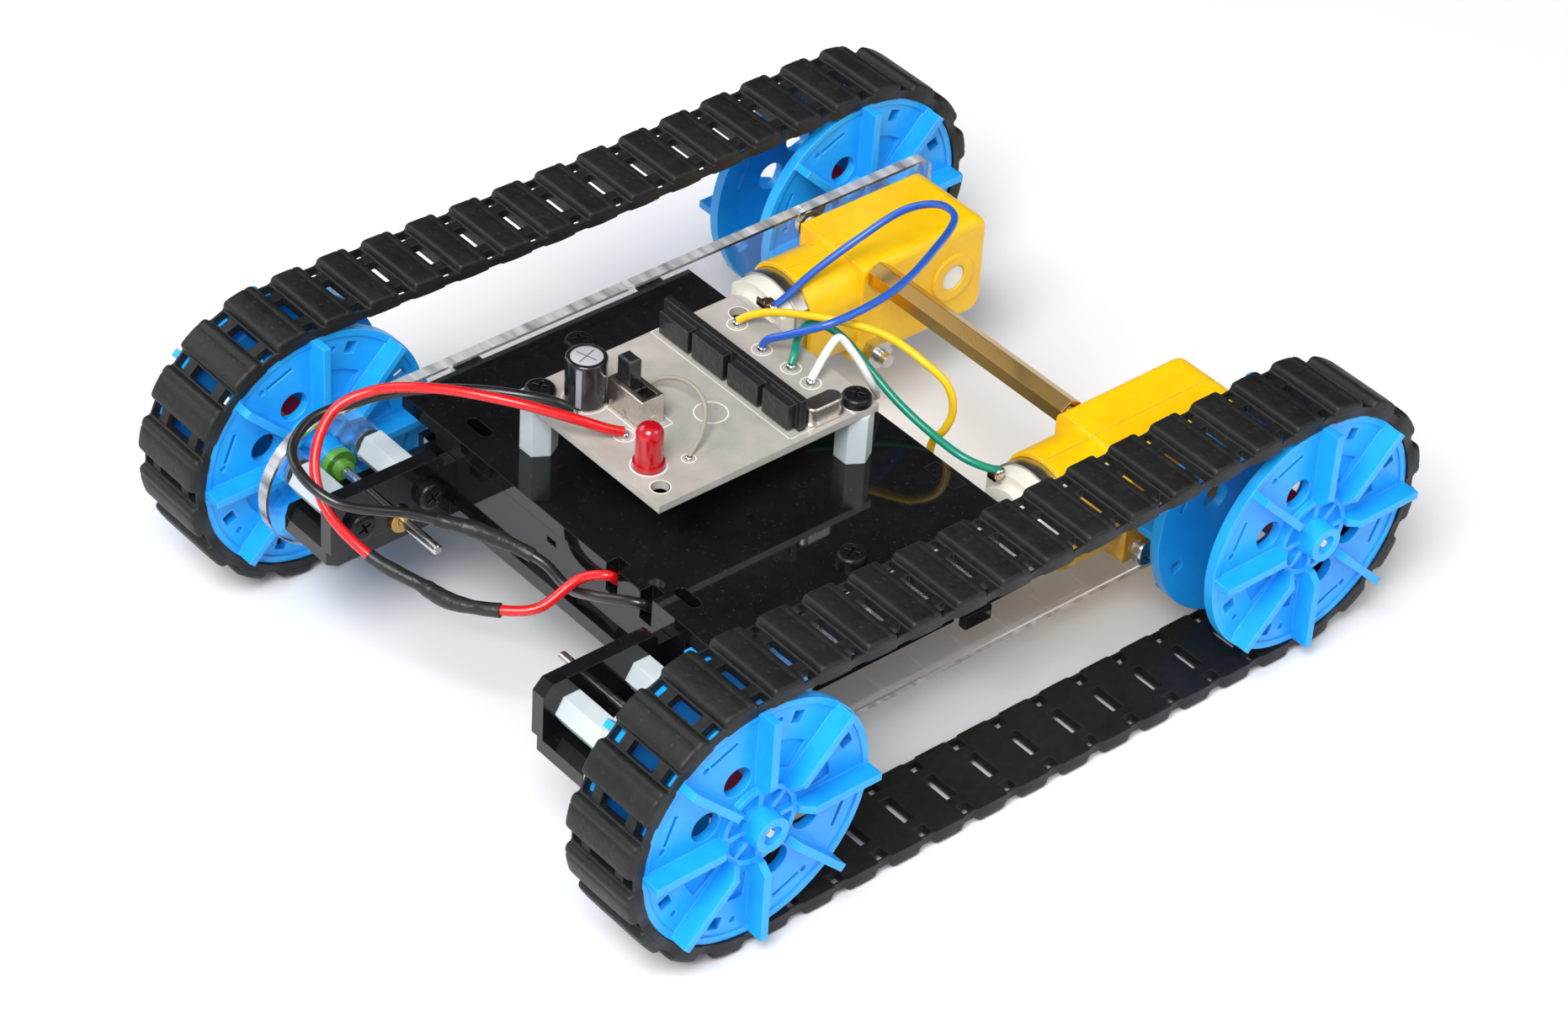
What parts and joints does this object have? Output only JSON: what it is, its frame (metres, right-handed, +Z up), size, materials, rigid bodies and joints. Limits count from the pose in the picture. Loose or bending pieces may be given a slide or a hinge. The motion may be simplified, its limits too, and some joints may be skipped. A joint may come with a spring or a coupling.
{
  "type": "tracked tank chassis",
  "caption": "Small tracked robot chassis: twin rubber belts on open sprocket wheels, clear side plates, black decks, two gearmotors and a control board.",
  "frame": {"origin": "on the ground under the belts, at the middle of the footprint: halfway between the drive and idler axles and halfway between the belts", "axes": "+X across the chassis towards the right-hand belt, +Y along the chassis towards the gearmotors and drive wheels, +Z up"},
  "size_m": [0.1494, 0.1844, 0.0625],
  "materials": {
    "clear_acrylic": "laser-cut clear acrylic",
    "black_acrylic": "laser-cut gloss black acrylic",
    "holder_black": "moulded",
    "cell_wrap": "printed sleeve, plain",
    "contact_metal": "nickel plated",
    "nylon": "natural nylon",
    "black_screw": "black oxide",
    "steel": "zinc plated",
    "brass": "turned and milled",
    "green_bush": "moulded",
    "wheel_blue": "moulded, satin gloss",
    "red_plastic": "moulded",
    "belt_rubber": "moulded",
    "gearbox_yellow": "moulded, satin",
    "can_steel": "drawn",
    "white_plastic": "moulded",
    "gear_white": "moulded acetal",
    "rotor_core": "laminated",
    "pcb": "coated laminate",
    "cap_sleeve": "shrink sleeve",
    "tin": "tinned",
    "black_plastic": "moulded",
    "led_red": "diffused epoxy",
    "wire_red": "insulation",
    "wire_black": "insulation",
    "wire_blue": "insulation",
    "wire_white": "insulation",
    "wire_yellow": "insulation",
    "wire_green": "insulation",
    "wire_grey": "insulation"
  },
  "bodies": {
    "chassis": {"side_plate_left": "clear_acrylic", "axle_bracket_left": "black_acrylic", "track_belt_left": "belt_rubber", "gearbox_outer_half_left": "gearbox_yellow", "gearbox_inner_half_left": "gearbox_yellow", "side_plate_right": "clear_acrylic", "axle_bracket_right": "black_acrylic", "track_belt_right": "belt_rubber", "gearbox_outer_half_right": "gearbox_yellow", "gearbox_inner_half_right": "gearbox_yellow", "deck_plate": "black_acrylic", "floor_plate": "black_acrylic", "front_wall": "black_acrylic", "rear_wall": "black_acrylic", "battery_holder": "holder_black", "battery_cells": "cell_wrap", "battery_contacts": "contact_metal", "nylon_standoffs": "nylon", "black_screws": "black_screw", "steel_screws_nuts": "steel", "brass_cross_spacer": "brass", "axle_bushes": "green_bush", "axle_washers": "brass", "motor_cans": "can_steel", "motor_end_caps": "white_plastic", "gear_pins": "steel", "control_board": "pcb", "capacitor": "cap_sleeve", "switch_body": "tin", "indicator_led": "led_red", "receiver_module": "black_plastic", "crystal": "tin", "antenna_wire": "wire_grey", "battery_lead_red": "wire_red", "battery_lead_black": "wire_black", "motor_lead_blue": "wire_blue", "motor_lead_white": "wire_white", "motor_lead_yellow": "wire_yellow", "motor_lead_green": "wire_green"},
    "drive_wheel_left": {"drive_discs_left": "wheel_blue", "drive_sleeve_left": "red_plastic", "drive_pin_left": "steel", "output_gear_left": "gear_white"},
    "idler_wheel_left": {"idler_discs_left": "wheel_blue", "idler_sleeve_left": "red_plastic", "idler_axle_left": "steel"},
    "reduction_gear_left": {"reduction_gear_left": "gear_white"},
    "crown_gear_left": {"crown_gear_left": "gear_white"},
    "motor_rotor_left": {"motor_rotor_left": "rotor_core"},
    "drive_wheel_right": {"drive_discs_right": "wheel_blue", "drive_sleeve_right": "red_plastic", "drive_pin_right": "steel", "output_gear_right": "gear_white"},
    "idler_wheel_right": {"idler_discs_right": "wheel_blue", "idler_sleeve_right": "red_plastic", "idler_axle_right": "steel"},
    "reduction_gear_right": {"reduction_gear_right": "gear_white"},
    "crown_gear_right": {"crown_gear_right": "gear_white"},
    "motor_rotor_right": {"motor_rotor_right": "rotor_core"},
    "switch_slider": {"switch_slider": "black_plastic"}
  },
  "joints": [
    {"name": "drive_spin_left", "type": "hinge", "parent": "chassis", "child": "drive_wheel_left", "pos_m": [-0.0625, 0.0645, 0.02777], "axis": [1, 0, 0], "continuous": true},
    {"name": "idler_spin_left", "type": "hinge", "parent": "chassis", "child": "idler_wheel_left", "pos_m": [-0.0625, -0.0645, 0.02777], "axis": [1, 0, 0], "continuous": true},
    {"name": "reduction_spin_left", "type": "hinge", "parent": "chassis", "child": "reduction_gear_left", "pos_m": [-0.038, 0.0555, 0.02777], "axis": [1, 0, 0], "continuous": true},
    {"name": "crown_spin_left", "type": "hinge", "parent": "chassis", "child": "crown_gear_left", "pos_m": [-0.035, 0.0475, 0.02777], "axis": [1, 0, 0], "continuous": true},
    {"name": "rotor_spin_left", "type": "hinge", "parent": "chassis", "child": "motor_rotor_left", "pos_m": [-0.03615, 0.035, 0.02777], "axis": [0, 1, 0], "continuous": true},
    {"name": "drive_spin_right", "type": "hinge", "parent": "chassis", "child": "drive_wheel_right", "pos_m": [0.0625, 0.0645, 0.02777], "axis": [1, 0, 0], "continuous": true},
    {"name": "idler_spin_right", "type": "hinge", "parent": "chassis", "child": "idler_wheel_right", "pos_m": [0.0625, -0.0645, 0.02777], "axis": [1, 0, 0], "continuous": true},
    {"name": "reduction_spin_right", "type": "hinge", "parent": "chassis", "child": "reduction_gear_right", "pos_m": [0.038, 0.0555, 0.02777], "axis": [1, 0, 0], "continuous": true},
    {"name": "crown_spin_right", "type": "hinge", "parent": "chassis", "child": "crown_gear_right", "pos_m": [0.035, 0.0475, 0.02777], "axis": [1, 0, 0], "continuous": true},
    {"name": "rotor_spin_right", "type": "hinge", "parent": "chassis", "child": "motor_rotor_right", "pos_m": [0.03615, 0.035, 0.02777], "axis": [0, 1, 0], "continuous": true},
    {"name": "switch_slide", "type": "slide", "parent": "chassis", "child": "switch_slider", "axis": [1, 0, 0], "range_m": [0, 0.0039]}
  ],
  "couplings": [
    {"joint": "idler_spin_left", "follows": "drive_spin_left", "ratio": 1},
    {"joint": "reduction_spin_left", "follows": "drive_spin_left", "ratio": -4},
    {"joint": "crown_spin_left", "follows": "drive_spin_left", "ratio": 16},
    {"joint": "rotor_spin_left", "follows": "drive_spin_left", "ratio": 48},
    {"joint": "idler_spin_right", "follows": "drive_spin_right", "ratio": 1},
    {"joint": "reduction_spin_right", "follows": "drive_spin_right", "ratio": -4},
    {"joint": "crown_spin_right", "follows": "drive_spin_right", "ratio": 16},
    {"joint": "rotor_spin_right", "follows": "drive_spin_right", "ratio": -48}
  ]
}
